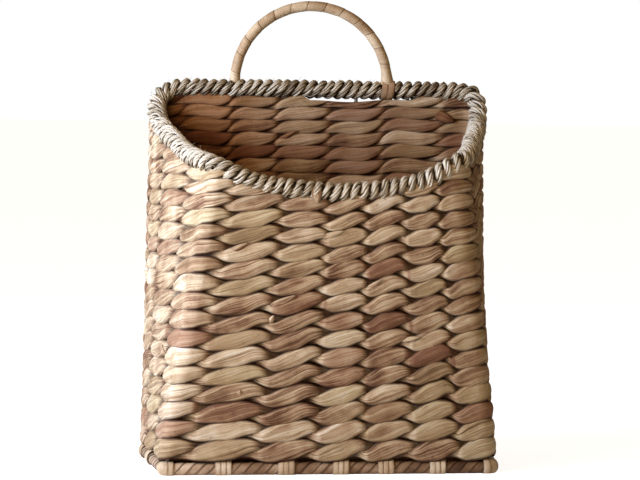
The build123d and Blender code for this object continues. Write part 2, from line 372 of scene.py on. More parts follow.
def frames_along(line, closed=False, side=None):
    """Distance, place, heading, side and upward direction at each point of a line."""
    if closed:
        heading = unit(np.roll(line, -1, axis=0) - np.roll(line, 1, axis=0))
    else:
        heading = unit(np.gradient(line, axis=0))
    if side is None:
        side = unit(np.cross(np.tile(up, (len(line), 1)), heading))
    return distances(line), line, heading, side, np.cross(heading, side)


def along_frames(frames, distance):
    """The frames' values at other distances along the line."""
    return [sampled(distance, frames[0], values) for values in frames[1:]]


def smooth_noise(rng, places, waves, period):
    """A gentle random wave from -1 to 1 that repeats after a period."""
    total = np.zeros_like(places, dtype=float)
    for wave in waves:
        total += np.sin(2 * math.pi * wave * places / period + rng.uniform(0, 2 * math.pi))
    return total / len(waves)


# Twining ----------

bay_steps = 18  # points along a strand from stake to stake
round_steps = 36  # points round it
flatness = 2.6  # of the section that these points are evenly spaced round
fibre_turn = 1.25  # turn of the fibres round a strand from stake to stake, in radians
fullness_lead = 0.04  # a strand in front of a stake is fullest this part of a bay before it
fullness_power = 0.95

# Walls as ranges of stakes: the middle stake, and the stakes from it to where the range ends
left_wall = (16, 2.5)
right_wall = (7.5, 2.5)
back_wall = (12, 3.5)
back_and_left = (13.2, 5.5)

# Heights of a strand in pitches of its row. The first of a pair holds in front and at the right,
# the second at the back and left.
crossing_height = (0.26, 0.31)
crossing_lift = (0.72, 0.9)
sway = (0.11, 0.044)
overlap = 0.085
lift_varies = 0.05
lift_waves = 0.03
strand_girth = 2.4

# Shares of a strand's thickness and of its way out from the middle of the wall
crossing_thickness = 1.5
flatter_left = 0.25
flatter_right = 0.15
reach_power = 0.4
section_power = 0.78
furrow_depth = 0.18

# Sizes of the strands; those of the wall are for a row of the full pitch
wall_swing = 3.1 * mm
wall_strand_thickness = 4.3 * mm
full_pitch = 17.5 * mm
row_clearance = 0.3 * mm
stake_clear = 1.9 * mm  # kept free from the middle of the wall at the stakes
crossing_depth = 5 * mm  # how far past the middle a strand may reach where it crosses over
floor_swing = 2.2 * mm
floor_strand_thickness = 2.1 * mm

# The rows are pressed flat where they reach the rim's winding
rim_near = 10 * mm
rim_near_fade = 5 * mm
rim_squeeze = 5.8 * mm  # the most that they then stand out from the middle of the wall
rim_clearance = 1 * mm
row_above_rim = 2.5 * mm  # how far above the rim line the middle of a row may still run

# Colours of the strands, as values that the material reads
strand_tone = 0.54
tone_varies = 0.19
tone_waves = 0.1
back_tone_varies = 1.6  # times as much as in front
back_warmth = 1.8
warmth_range = (-5.0, 1.0)
green_range = (-2.0, 1.0)
# the inside tint of the wall, with painted shade: how fast it sets in behind the middle of the wall
# and how far its shade spreads from left to right
inside_fade = 3 * mm
shade_spread = 60 * mm


def near_stake(places, stake, reach):
    """1 round a stake and 0 from a reach of so many stakes on, with a slope one stake long."""
    return np.clip(reach - np.abs(places % stake_count - stake), 0, 1)


def even_angles(count, stretch):
    """Angles whose points are evenly spaced round a flattened section, from its top edge."""
    fine = np.linspace(0, 2 * math.pi, 721) + math.pi / 2
    step = np.hypot(np.diff(np.cos(fine)), stretch * np.diff(np.sin(fine)))
    length = np.append(0, np.cumsum(step))
    return np.interp(np.linspace(0, length[-1], count + 1)[:-1], length, fine)


section_angles = even_angles(round_steps, flatness)

# Waves of the rows: how many round the wall, the height they change over, and their start
row_waves = [(3, 0.21, 0.4), (5, -0.17, 2.1), (8, 0.26, 4.0), (13, -0.31, 5.2)]
row_wave_height = 0.75 * mm
row_wave_growth = 60 * mm  # the height over which they grow from nothing near the base


def per_spindle(rng, places, low, high, spread=0.3):
    """A random value for each visible length of a strand, passing into the next at the crossings."""
    values = rng.uniform(low, high, stake_count)
    first = np.floor(places).astype(int)
    share = np.clip((places - first - 0.5) / spread + 0.5, 0, 1)
    share = share * share * (3 - 2 * share)
    return values[first % stake_count] * (1 - share) + values[(first + 1) % stake_count] * share


def furrows(rng, at, angle, count=11):
    """Depth from 0 to 1 of the wrinkles that run along a strand and turn round it as they go."""
    depth = np.zeros((len(at), len(angle[0])))
    turn = fibre_turn * (at - np.round(at))
    for number in range(count):
        middle = 2 * math.pi * (number + rng.uniform(-0.3, 0.3)) / count
        middle = middle + per_spindle(rng, at, -0.3, 0.3) + turn
        middle = middle + 0.06 * smooth_noise(rng, at, (31, 47, 68), stake_count)
        strength = np.clip(per_spindle(rng, at, -0.7, 1.1, 0.5), 0, 1)
        strength = strength * (0.65 + 0.35 * smooth_noise(rng, at, (13, 27, 41), stake_count))
        gap = 2 * np.sin((angle - middle[:, None]) / 2)
        width = 0.055 + 0.045 * rng.random()
        depth += strength[:, None] * np.exp(-((gap / width) ** 2))
    return np.clip(depth, 0, 1)


# Leaves of a colour of their own: row, stake, tone, warmth
marked_leaves = [
    (7, 0, 0.35, 1.0), (11, 4, 0.3, 1.0), (6, 5, 0.1, 0.9), (3, 6, 0.5, 0.9), (3, 1, 0.25, 0.5),
    (5, 3, 0.3, 0.3), (8, 4, 0.15, 0.6), (9, 2, 0.3, 0.4), (13, 1, 0.35, 0.3), (19, 12, 0.1, 0.8),
]


def strand_shape(rng, places, at, out, rise, pitch, swing, thickness, taper, room):
    """How far out and up the points of a strand's sections lie, and how deep its furrows are."""
    angle = section_angles[None, :]
    cos, sin = np.cos(angle), np.sin(angle)
    belly = np.abs(out) ** fullness_power
    back = near_stake(at, *back_and_left)
    crossing = blend(*crossing_height, back)
    tall = blend(crossing, 0.5 + overlap, belly) * per_spindle(rng, at, 0.95, 1.14)
    lift = blend(*crossing_lift, back) * np.sign(rise) * np.maximum(0.5 + overlap - tall, 0)
    lift += per_spindle(rng, at, -lift_varies, lift_varies)
    lift += blend(*sway, back) * 2 * rise * out * (1 - 0.3 * (out**2 - rise**2))
    lift += lift_waves * smooth_noise(rng, at, (17, 29, 41), stake_count)
    tall, lift = tall * pitch, lift * pitch
    flatter = 1 - flatter_left * near_stake(places, *left_wall)
    flatter -= flatter_right * near_stake(places, *right_wall)
    thick = flatter * thickness * blend(crossing_thickness, 1, belly)
    thick = thick * per_spindle(rng, at, 0.92, 1.1)
    reach = flatter * swing * np.sign(out) * np.abs(out) ** reach_power
    reach = reach * per_spindle(rng, at, 0.88, 1.12)
    reach += 0.25 * mm * smooth_noise(rng, at, (7, 13, 22), stake_count)
    lumps = smooth_noise(rng, at, (21, 34, 47), stake_count)[:, None]
    wobble = 1 + 0.035 * lumps * np.cos(3 * angle + rng.uniform(0, 6))
    crease = furrows(rng, at, angle)
    across = np.sign(cos) * np.abs(cos) ** section_power * thick[:, None] * wobble
    sideways = reach[:, None] + across * (1 - furrow_depth * crease) * taper[:, None]
    clear = stake_clear * np.clip(3 * np.abs(out) - 2, 0, 1)
    clear = clear - crossing_depth * (np.abs(out) < 0.67)
    own_side = np.sign(out)[:, None]
    sideways = own_side * np.maximum(own_side * sideways, clear[:, None])
    vertical = lift[:, None] + sin * tall[:, None] * wobble * taper[:, None]
    if room is not None:
        near = np.clip((vertical - room[:, None] + rim_near) / rim_near_fade, 0, 1)
        limit = blend(30 * mm, rim_squeeze, near)
        sideways = np.clip(sideways, -limit, limit)
        vertical = np.minimum(vertical, room[:, None] - rim_clearance)
    return sideways, vertical, crease


def strand_colours(rng, places, at, out, rise, base, sideways, crease, marked):
    """Values at the points of a strand that its material reads."""
    at_back = np.abs(at % stake_count - back_wall[0]) < back_wall[1]
    varies = tone_varies * np.where(at_back, back_tone_varies, 1.0)
    tone = strand_tone + varies * per_spindle(rng, at, -1, 1)
    tone = tone + tone_waves * smooth_noise(rng, at, (11, 17, 29), stake_count)
    warmth = np.clip(per_spindle(rng, at, *warmth_range) + back_warmth * at_back, 0, 1)
    green = np.clip(per_spindle(rng, at, *green_range), 0, 1)
    for stake, own_tone, own_warmth in marked:
        half = stake_count / 2
        own = (out > 0) & (np.abs((places - stake + half) % stake_count - half) < 0.6)
        tone, warmth = np.where(own, own_tone, tone), np.where(own, own_warmth, warmth)
    # painted shade where a strand passes behind the other, and along its upper and lower edges, with
    # less of the edge shade on the left wall
    cos, sin = np.cos(section_angles)[None, :], np.sin(section_angles)[None, :]
    shown = out[:, None] * np.sign(cos)
    under = np.clip(np.where(rise[:, None] > 0, 0.1 - shown, -0.25 - shown) / 0.25, 0, 1)
    edge = np.clip(np.maximum((sin - 0.78) / 0.1, (-sin - 0.68) / 0.18), 0, 1)
    edge = edge * (1 - 0.45 * near_stake(places, *left_wall)[:, None])
    # painted shade on the inside of the wall, deeper towards the left and lighter towards the right
    shade = 0.5 + 0.5 * np.clip(-base[:, 0] / shade_spread - 0.3, 0, 1)
    shade = shade - 0.3 * np.clip(base[:, 0] / shade_spread - 1, 0, 1)
    return {
        "tone": tone[:, None],
        "warmth": warmth[:, None],
        "green": green[:, None],
        "crease": crease,
        "tuck": np.maximum(0.8 * under, edge),
        "inner": np.clip(-sideways / inside_fade, 0, 1) * shade[:, None],
    }


def twine(tubes, rng, places, base, outward, upward, pitch, swing, thickness, length,
          room=None, marked=()):
    """Two strands twined along a row of stakes. Both cross between stakes; the one that is
    outside at a stake rises from lower left to upper right there, and so does the inside one."""
    closed = places[-1] - places[0] > stake_count - 0.5 / bay_steps
    taper = np.ones(len(places))
    if not closed:
        ends = np.minimum(places - places[0], places[-1] - places)
        taper = np.clip(ends / 0.35, 0.03, 1) ** 0.5
    girth = strand_girth * pitch
    used = slice(0, -1) if closed else slice(None)
    for strand in (0, 1):
        at = places - strand
        phase = at + fullness_lead * np.cos(math.pi * at)
        out, rise = np.cos(math.pi * phase), np.sin(math.pi * phase)
        sideways, vertical, crease = strand_shape(
            rng, places, at, out, rise, pitch, swing, thickness, taper, room
        )
        rings = base[:, None] + outward[:, None] * sideways[..., None]
        rings = rings + upward[:, None] * vertical[..., None]
        values = strand_colours(rng, places, at, out, rise, base, sideways, crease, marked)
        tubes.add(
            rings[used],
            length[used] + rng.uniform(0, 5),
            girth,
            closed=closed,
            twist=fibre_turn * girth / (2 * math.pi) / (50 * mm),
            **{name: value[used] for name, value in values.items()},
        )


def wave_of_rows(places, height):
    """Rise and fall of the rows round the wall, less towards the base."""
    wave = 0
    for count, climb, start in row_waves:
        wave = wave + np.sin(2 * math.pi * (count * places / stake_count + height / climb) + start)
    return row_wave_height * wave * np.clip(height / row_wave_growth - 0.2, 0, 1)


def row_of_wall(number, material):
    """One twined row of the wall, at the height of its node; an upper one runs where the rim
    is above it."""
    name = f"weft_row_{number:02d}"
    low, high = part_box(name)
    middle = (low.z + high.z) / 2
    pitch = high.z - low.z + row_clearance
    rng = np.random.default_rng(100 + number)
    places = front_middle + np.arange(stake_count * bay_steps + 1) / bay_steps
    points, length = wall_points(places, middle)
    room = rim_above(points) - middle
    hidden = np.nonzero(room < -row_above_rim)[0]
    if not len(hidden):
        places = places + stake_count / 2 + 0.5
        points, length = wall_points(places, middle)
        room = rim_above(points) - middle
    else:
        back = len(places) // 2
        first, last = hidden[hidden < back].max(), hidden[hidden > back].min()
        places, points, length, room = (
            values[first : last + 1] for values in (places, points, length, room)
        )
    from_gap = np.abs(places % stake_count - rim_gap_middle)
    room = room - rim_gap * np.clip((rim_gap_reach - from_gap) * rim_gap_slope, 0, 1)
    above, below = (wall_points(places, middle + step)[0] for step in (5 * mm, -5 * mm))
    lean = (above - below) / (10 * mm)
    ahead, behind = (wall_points(places + step, middle)[0] for step in (0.02, -0.02))
    outward = unit(np.cross(ahead - behind, np.tile(up, (len(places), 1))))
    slimmer = (pitch / full_pitch) ** 0.15
    swing, thickness = wall_swing * slimmer, wall_strand_thickness * slimmer
    points = points + lean * wave_of_rows(places, middle)[:, None]
    tubes = Tubes()
    marked = [leaf[1:] for leaf in marked_leaves if leaf[0] == number]
    twine(tubes, rng, places, points, outward, lean, pitch, swing, thickness, length, room, marked)
    return tubes.piece(name + "_strands", material, "hyacinth_weave", name)


def row_of_floor(number, material):
    """One twined row of the floor, side to side over the floor wires."""
    name = f"floor_row_{number}"
    low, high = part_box(name)
    rng = np.random.default_rng(300 + number)
    bays = 6
    wide = bays - 0.24
    places = 0.12 + np.arange(0, bays * bay_steps + 1) / (bays * bay_steps) * wide
    count = len(places)
    base = np.tile([(low.x + high.x) / 2, (low.y + high.y) / 2, (low.z + high.z) / 2], (count, 1))
    half = (high.x - low.x) / 2 + 1 * mm
    base[:, 0] += (places - bays / 2) / (wide / 2) * half
    outward = np.tile([0.0, 0.0, -1.0], (count, 1))
    upward = np.tile([0.0, 1.0, 0.0], (count, 1))
    pitch = high.y - low.y + row_clearance
    tubes = Tubes()
    length = base[:, 0] - base[0, 0]
    twine(
        tubes, rng, places, base, outward, upward, pitch, floor_swing, floor_strand_thickness,
        length,
    )
    return tubes.piece(name + "_strands", material, "hyacinth_floor", name)


# Pieces of leaf that stick out of the weave: the row and stake place where each comes out, its
# length, width and slope, and the side of the wall it is on, 1 outside or -1 inside
loose_ends = [
    (9, 1.55, 25 * mm, 5.5 * mm, 0.4, 1),
    (8, 1.5, 8 * mm, 5 * mm, 1.2, 1),
    (6, -0.45, 9 * mm, 4.5 * mm, 1.7, 1),
    (4, 1.1, 6 * mm, 4 * mm, 1.5, 1),
    (12, 0.62, 22 * mm, 6 * mm, 0.5, 1),
    (13, 2.5, 20 * mm, 5 * mm, 0.3, 1),
    (10, 3.6, 16 * mm, 4 * mm, 0.5, 1),
    (7, 4.4, 18 * mm, 4.5 * mm, 0.25, 1),
    (16, 2.2, 16 * mm, 10 * mm, -1.5, 1),
    (21, 9.55, 20 * mm, 10 * mm, 3.5, -1),
    (19, 12.4, 20 * mm, 5 * mm, 2.6, -1),
]


def leaf_ends(material):
    tubes = Tubes()
    rng = np.random.default_rng(61)
    ring = np.linspace(0, 2 * math.pi, 10, endpoint=False)
    share = np.linspace(0, 1, 12)[:, None]
    for row, place, length, width, slope, side in loose_ends:
        low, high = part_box(f"weft_row_{row:02d}")
        middle = (low.z + high.z) / 2
        points = wall_points([place - 0.05, place, place + 0.05], middle)[0]
        level = unit(points[2] - points[0])
        off = side * unit(np.cross(level, up))
        course = level * math.cos(slope) + up * math.sin(slope)
        beside = np.cross(course, off)
        line = points[1] + course * length * (share - 0.15)
        line = line + off * (5.2 * mm + 3.6 * mm * np.sin(share * math.pi * 0.6))
        line = line + beside * rng.uniform(-1, 1) * mm * share**2
        half = width / 2 * np.clip(1.1 - share**3, 0, 1) * np.clip(0.5 + 4 * share, 0, 1)
        curl = 0.7 * mm * np.cos(ring)[None, :] ** 2
        rings = (
            line[:, None]
            + beside * (half * np.cos(ring)[None, :])[..., None]
            + off * (0.45 * mm * np.sin(ring)[None, :] - curl)[..., None]
        )
        tubes.add(
            rings,
            share[:, 0] * length + rng.uniform(0, 3),
            2.4 * width,
            tone=rng.uniform(0.3, 0.6),
            # painted shade at the root, where the leaf comes out of the weave; ends inside the wall
            # also get the inside tint and painted shade
            tuck=np.clip(0.6 - 4 * share, 0, 1),
            inner=0.0 if side > 0 else 0.9,
        )
    return tubes.piece("leaf_ends", material, "hyacinth_weave")


# Rim cord ----------

cord_starts = 2  # runs of cord side by side
cord_lead = 17.6 * mm  # the way along the rim in which each run goes round once
cord_steps = 21  # points along the cord for each turn
cord_reach = 9.4 * mm
cord_wander = 1 * mm
cord_tone = 0.74
cord_tone_varies = 0.35
darker_at_back = 0.15
# painted shade between the strings of a bundle and under the winding
groove_shade = 0.85
underside_shade = 0.6
string_count = 7
string_radius = 1.15 * mm
bundle_width = 2.3 * mm
bundle_height = 2.2 * mm
bundle_lay = 32 * mm
back_tilt = 2 * mm
filling_radius = 4.9 * mm
fibre_count = 320


def round_rings(line, radius, away, beside, count):
    """Round sections along a line, in the plane of two directions."""
    ring = np.linspace(0, 2 * math.pi, count, endpoint=False)[None, :, None]
    around = away[..., None, :] * np.cos(ring) + beside[..., None, :] * np.sin(ring)
    return line[:, None] + np.reshape(radius, (-1, 1, 1)) * around


def rim_cord(material):
    """Seagrass cord wound side by side round the rim in two runs: a flattened bundle of strings
    that turn slowly round each other. Along the back the turns lean over a little more."""
    half_gap = lashing_width / 2
    frames = frames_along(rim_line)
    start, end = half_gap, frames[0][-1] - half_gap
    rng = np.random.default_rng(7)
    tubes = Tubes()
    ring_radius = cord_reach - bundle_height - string_radius
    turn_length = math.hypot(2 * math.pi * ring_radius, cord_lead)
    turns = (end - start) / cord_lead
    turn = np.linspace(0, turns, int(turns * cord_steps))
    travelled = turn * turn_length
    for run in range(cord_starts):
        angle = -2 * math.pi * (turn + run / cord_starts)
        angle = angle + 0.2 * smooth_noise(rng, turn, (19, 43, 71, 97), turns)
        at = start + turn * cord_lead
        place = along_frames(frames, at)[0]
        back = np.clip((place[:, 1] - wall_back + 20 * mm) / (15 * mm), 0, 1)
        at = at + back * back_tilt * np.sin(angle)
        at = at + cord_wander * smooth_noise(rng, turn, (29, 53, 88), turns)
        place, heading, side, over = along_frames(frames, np.clip(at, start - 1 * mm, end + 1 * mm))
        swell = 1 + 0.1 * smooth_noise(rng, turn, (17, 31, 53, 90), turns)
        away = side * np.cos(angle)[:, None] + over * np.sin(angle)[:, None]
        middle = place + away * (ring_radius * swell)[:, None]
        course = unit(np.gradient(middle, axis=0))
        beside = np.cross(course, away)
        tone = cord_tone - darker_at_back * back
        tone = tone + cord_tone_varies * smooth_noise(rng, turn, (9, 23, 41, 77), turns)
        for string in range(string_count):
            twist = 2 * math.pi * (travelled / bundle_lay + string / string_count)
            twist = twist + 0.5 * smooth_noise(rng, turn, (31, 57, 83), turns)
            spread = 1 + 0.2 * smooth_noise(rng, turn, (23, 57, 89, 131), turns)
            centre = middle + (
                away * (bundle_height * spread * np.cos(twist))[:, None]
                + beside * (bundle_width * spread * np.sin(twist))[:, None]
            )
            girth = string_radius * (1 + 0.2 * smooth_noise(rng, turn, (61, 97, 151, 233), turns))
            rings = round_rings(centre, girth, away, beside, 5)
            shade = tone + cord_tone_varies * smooth_noise(rng, turn, (21, 37, 71, 133), turns)
            shade = shade + rng.uniform(-0.12, 0.12)
            # painted shade: darker in the grooves between the strings and on the underside of the
            # winding
            shade = shade - groove_shade * np.clip(0.55 - np.cos(twist), 0, 1)
            shade = shade - underside_shade * np.clip(-away[:, 2] - 0.15, 0, 1)
            tubes.add(rings, travelled, 2 * math.pi * string_radius, tone=shade[:, None])
    return tubes.piece("rim_cord", material, "seagrass_cord", "rim_wrap")


def rim_filling(material):
    """Bundle inside the winding, seen between the turns; its dark colour is painted shade."""
    frames = frames_along(rim_line)
    inset = lashing_width / 2
    at = np.linspace(inset, frames[0][-1] - inset, 400)
    place, heading, side, over = along_frames(frames, at)
    tubes = Tubes()
    rings = round_rings(place, filling_radius, side, over, 12)
    tubes.add(rings, at, 2 * math.pi * filling_radius, tone=0.0)
    return tubes.piece("rim_filling", material, "seagrass_cord")


def rim_fibres(material):
    """Loose fibre ends that stand off the winding."""
    frames = frames_along(rim_line)
    rng = np.random.default_rng(11)
    tubes = Tubes()
    for _ in range(fibre_count):
        at = rng.uniform(10 * mm, frames[0][-1] - 10 * mm)
        place, heading, side, over = (value[0] for value in along_frames(frames, np.array([at])))
        angle = rng.uniform(0, 2 * math.pi)
        away = side * math.cos(angle) + over * math.sin(angle)
        lie = np.cross(heading, away) * rng.choice([-1, 1]) + heading * rng.uniform(-1.2, 1.2)
        lie = unit(lie)
        reach = rng.uniform(4, 11) * mm
        lift = rng.uniform(0.5, 3.2) * mm
        share = np.linspace(0, 1, 5)[:, None]
        root = place + away * (rim_roll_radius - 1.0 * mm)
        line = root + lie * reach * share + away * lift * share**1.6
        fall = np.array([0, 0, -1.0]) * rng.uniform(0, 2.0) * mm
        line = line + fall * share**2
        thick = rng.uniform(0.16, 0.34) * mm * np.array([1, 0.95, 0.8, 0.55, 0.15])
        rings = round_rings(line, thick, away, unit(np.cross(lie, away)), 3)
        tubes.add(rings, share[:, 0] * reach, 1 * mm, tone=rng.uniform(0.3, 1.0))
    return tubes.piece("rim_fibres", material, "seagrass_cord")


# Strips wound round wires ----------

strip_steps = 36  # points along a strip for each turn
strip_thickness = 0.35 * mm
loop_strip_reach = 4.75 * mm
loop_strip_pitch = 17 * mm
loop_strip_width = 20 * mm
loop_end_flare = 2.2 * mm
base_strip_pitch = 10.5 * mm  # of each strip of the base, as if it were alone
base_strip_width = 12 * mm

# Ties of strips side by side: how many, how wide and how far from the wire's middle
foot_tie = (3, 5.2 * mm, 6.5 * mm)
start_corner_tie = (3, 5 * mm, 6.4 * mm)
lashing_tie = (2, 6.4 * mm, 8.9 * mm)
tie_thickness = 0.9 * mm


def edge_marks(edge):
    """1 at the edges of a strip's section and 0 between them."""
    return np.where(np.abs(edge) > 0.4, 1.0, 0.0)[None, :]


def wound_strip(tubes, frames, start, end, radius, pitch, width, rng, lift=0.7 * mm, hand=1,
                begin=0.0, upright=0.0, flare=0.0, floor=None, painted_light_left=0.0):
    """Flat strip wound round a line, each turn lapping over the one before it. It may begin part
    of a turn round, its front may stand more upright, its end may flare, and its tone may be
    painted lighter towards the left, as painted light from that side."""
    turns = (end - start) / pitch
    turn = np.linspace(-0.7, turns + 0.7, int(turns * strip_steps))
    edge = np.array([-0.5, -0.47, -0.3, -0.1, 0.1, 0.3, 0.46, 0.5, 0.46, 0.1, -0.3, -0.47])
    top = np.array([0, 1, 1, 1, 1, 1, 1, 0, -1, -1, -1, -1])
    width_here = width * (1 + 0.04 * smooth_noise(rng, turn, (5, 9, 14), turns))
    slide = pitch * 0.05 * smooth_noise(rng, turn, (3, 7, 11), turns)
    at = start + turn * pitch + slide
    at = at - upright * pitch / (2 * math.pi) * np.sin(2 * math.pi * (turn + begin))
    at = at[:, None] + edge[None, :] * width_here[:, None]
    at = np.clip(at, start, end)
    place, heading, side, over = along_frames(frames, at)
    angle = hand * 2 * math.pi * (turn[:, None] + begin)
    away = side * np.cos(angle)[..., None] + over * np.sin(angle)[..., None]
    crown = 0.12 * mm * np.cos(edge * math.pi)
    height = radius - lift / 2 + lift * edge + crown + strip_thickness * top * 0.5
    height = height[None, :] + flare * np.clip(1 - (end - at) / (15 * mm), 0, 1) ** 2
    rings = place + away * height[..., None]
    if floor is not None:
        rings[..., 2] = np.maximum(rings[..., 2], floor)
    tone = 0.5 + 0.5 * smooth_noise(rng, turn, (2, 5, 9), turns)
    # painted light: lighter towards the left, where the light falls
    tone = tone - painted_light_left * place[:, 4, 0] / (100 * mm)
    length = turn * math.hypot(2 * math.pi * radius, pitch)
    tubes.add(rings, length, 2.2 * width, tone=tone[:, None], crease=edge_marks(edge))


def loop_frames():
    radius = loop_span / 2
    spring = rim_height + loop_rise - radius
    foot = rim_height + rim_roll_radius - 3 * mm
    bend = np.linspace(math.pi, 0, 60)
    arc = np.stack([
        loop_middle + radius * np.cos(bend),
        np.full(60, wall_back),
        spring + radius * np.sin(bend),
    ], axis=1)
    line = np.vstack([[left_leg, wall_back, foot], arc, [right_leg, wall_back, foot]])
    line = evenly(line, 1 * mm)
    return frames_along(line, side=np.tile([0.0, -1.0, 0.0], (len(line), 1)))


def loop_strip(material):
    frames = loop_frames()
    tubes = Tubes()
    rng = np.random.default_rng(21)
    wound_strip(
        tubes, frames, 0, frames[0][-1], loop_strip_reach, loop_strip_pitch, loop_strip_width,
        rng, lift=0.35 * mm, hand=-1, upright=0.6, flare=loop_end_flare,
    )
    return tubes.piece("loop_strip", material, "loop_strip", "loop_wrap")


def base_frames():
    _, line, _ = wall_plan(base_top)
    line = evenly(line, 1 * mm)
    line[:, 2] = base_wire_height
    line = line[:-1]
    distance, place, heading, side, over = frames_along(line, closed=True)
    total = distance[-1] + np.linalg.norm(line[0] - line[-1])
    frames = [np.append(distance, total)]
    for values in (place, heading, side, over):
        frames.append(np.vstack([values, values[:1]]))
    return frames


def base_strip(material):
    frames = base_frames()
    tubes = Tubes()
    rng = np.random.default_rng(31)
    for start in range(base_strips):
        wound_strip(
            tubes, frames, 0, frames[0][-1], base_roll_radius - 0.2 * mm,
            base_strips * base_strip_pitch, base_strip_width, rng, hand=-1,
            # paler towards the left: painted light
            begin=start / base_strips, floor=0.1 * mm, painted_light_left=0.35,
        )
    return tubes.piece("base_strip", material, "base_strip", "base_wrap")


def binding(tubes, frames, at, tie, rng, height=0.0, lean=0.0, floor=None):
    """Strips side by side, each tied once round a line and drawn up by a height."""
    count, width, radius = tie
    angle = np.linspace(0, 2 * math.pi, 40, endpoint=False)
    own_tone = rng.uniform(0.05, 0.95)
    for number in range(count):
        middle = at + (number - (count - 1) / 2) * width * 0.93
        edge = np.array([-0.5, -0.42, -0.2, 0.0, 0.2, 0.42, 0.5, 0.3, 0.0, -0.3])
        top = np.array([0, 0.8, 1, 1.1, 1, 0.8, 0, -1, -1, -1]) * 0.5
        strip = width * rng.uniform(0.95, 1.1)
        tilt = lean + rng.uniform(-0.06, 0.06) * width
        shift = middle + edge[None, :] * strip + tilt * np.sin(angle)[:, None]
        place, heading, side, over = along_frames(frames, shift)
        bulge = radius + tie_thickness * top[None, :] + 0.15 * mm * rng.uniform(-1, 1)
        bulge = bulge + 0.12 * mm * smooth_noise(rng, angle, (1, 2, 3), 2 * math.pi)[:, None]
        away = side * np.cos(angle)[:, None, None] + over * np.sin(angle)[:, None, None]
        rings = place + away * bulge[..., None]
        rings[..., 2] += height * np.clip(np.sin(angle), 0, 1)[:, None]
        if floor is not None:
            rings[..., 2] = np.maximum(rings[..., 2], floor)
        tubes.add(
            rings,
            angle * radius + rng.uniform(0, 3),
            2.2 * width,
            closed=True,
            tone=own_tone + rng.uniform(-0.15, 0.15),
            crease=edge_marks(edge),
        )


def foot_bindings(material):
    """Strips that tie the stakes' feet to the base frame, and wind the corners."""
    frames = base_frames()
    _, _, marks = wall_plan(base_top)
    scale = frames[0][-1] / marks[-1]
    rng = np.random.default_rng(41)
    sets = {
        "front_foot_wraps": range(1, 6),
        "right_foot_wraps": (7, 8),
        "back_foot_wraps": range(10, 15),
        "left_foot_wraps": (16, 17),
        "corner_foot_wraps": (0, 6, 9, 15),
    }
    for node, stakes in sets.items():
        tubes = Tubes()
        for stake in stakes:
            if stake == 0:
                reach = 9 * mm
                wrapped = frames_shifted(frames, reach)
                binding(tubes, wrapped, reach, start_corner_tie, rng, floor=0.05 * mm)
                continue
            at = marks[stake] * scale
            binding(tubes, frames, at, foot_tie, rng, height=1.2 * mm, floor=0.05 * mm)
        tubes.piece(node + "_strips", material, "foot_strip", node)


def frames_shifted(frames, reach):
    """Frames of a closed line that begin a short way before its start."""
    total = frames[0][-1]
    at = np.linspace(-reach, reach, 60)
    made = along_frames(frames, at % total)
    return [at + reach, *made]


def lashing(material):
    """Strip wound round the rim wire at the loop's right leg, where the cord stops."""
    reach = 15 * mm
    line = np.stack([
        np.linspace(right_leg - reach, right_leg + reach, 40),
        np.full(40, wall_back),
        np.full(40, rim_height),
    ], axis=1)
    frames = frames_along(line)
    tubes = Tubes()
    rng = np.random.default_rng(51)
    binding(tubes, frames, reach, lashing_tie, rng, lean=1 * mm)
    return tubes.piece("lashing_strip", material, "loop_strip", "loop_lashing")


# Materials ----------


def srgb(red, green, blue):
    """A colour as painters' values from 0 to 255, in the linear scale that shaders use."""
    values = []
    for value in (red, green, blue):
        share = value / 255
        values.append(share / 12.92 if share <= 0.04045 else ((share + 0.055) / 1.055) ** 2.4)
    return (*values, 1.0)


class Shader:
    """A material's node tree, with short calls to add and link nodes."""

    def __init__(self, tree):
        self.tree = tree

    def add(self, kind, inputs=None, **settings):
        made = self.tree.nodes.new(kind)
        for name, value in settings.items():
            setattr(made, name, value)
        for key, value in (inputs or {}).items():
            if isinstance(value, bpy.types.NodeSocket):
                self.tree.links.new(value, made.inputs[key])
            else:
                made.inputs[key].default_value = value
        return made

    def attribute(self, name):
        return self.add("ShaderNodeAttribute", attribute_name=name).outputs["Fac"]

    def math(self, operation, *values):
        made = self.add("ShaderNodeMath", dict(enumerate(values)), operation=operation)
        return made.outputs[0]

    def noise(self, vector, scale, detail=3.0, roughness=0.6, distortion=0.0):
        inputs = {"Vector": vector, "Scale": scale, "Detail": detail, "Roughness": roughness}
        inputs["Distortion"] = distortion
        return self.add("ShaderNodeTexNoise", inputs).outputs[0]

    def noise_in_place(self, scale, detail, roughness=0.6):
        """Noise that is fixed to the basket and not to its strands."""
        place = self.add("ShaderNodeTexCoord").outputs["Object"]
        return self.noise(place, scale, detail, roughness)

    def spread(self, value, low, high, to_low=0.0, to_high=1.0):
        inputs = {"Value": value, 1: low, 2: high, 3: to_low, 4: to_high}
        return self.add("ShaderNodeMapRange", inputs).outputs[0]

    def ramp(self, value, stops):
        made = self.add("ShaderNodeValToRGB", {0: value})
        elements = made.color_ramp.elements
        while len(elements) < len(stops):
            elements.new(0.5)
        for element, (place, colour) in zip(elements, stops):
            element.position = place
            element.color = srgb(*colour)
        return made.outputs[0]

    def mix(self, share, first, second, mode="MIX"):
        inputs = {0: share, 6: first, 7: second}
        made = self.add("ShaderNodeMix", inputs, data_type="RGBA", blend_type=mode)
        return made.outputs[2]

    def tinted(self, colour, name, most, tint, mode="MIX"):
        """The colour with a tint where the strand's value of that name is high."""
        share = self.math("MULTIPLY", self.attribute(name), most)
        return self.mix(share, colour, tint, mode)


def new_material(name):
    made = bpy.data.materials.new(name)
    made.use_nodes = True
    made.node_tree.nodes.clear()
    return made, Shader(made.node_tree)


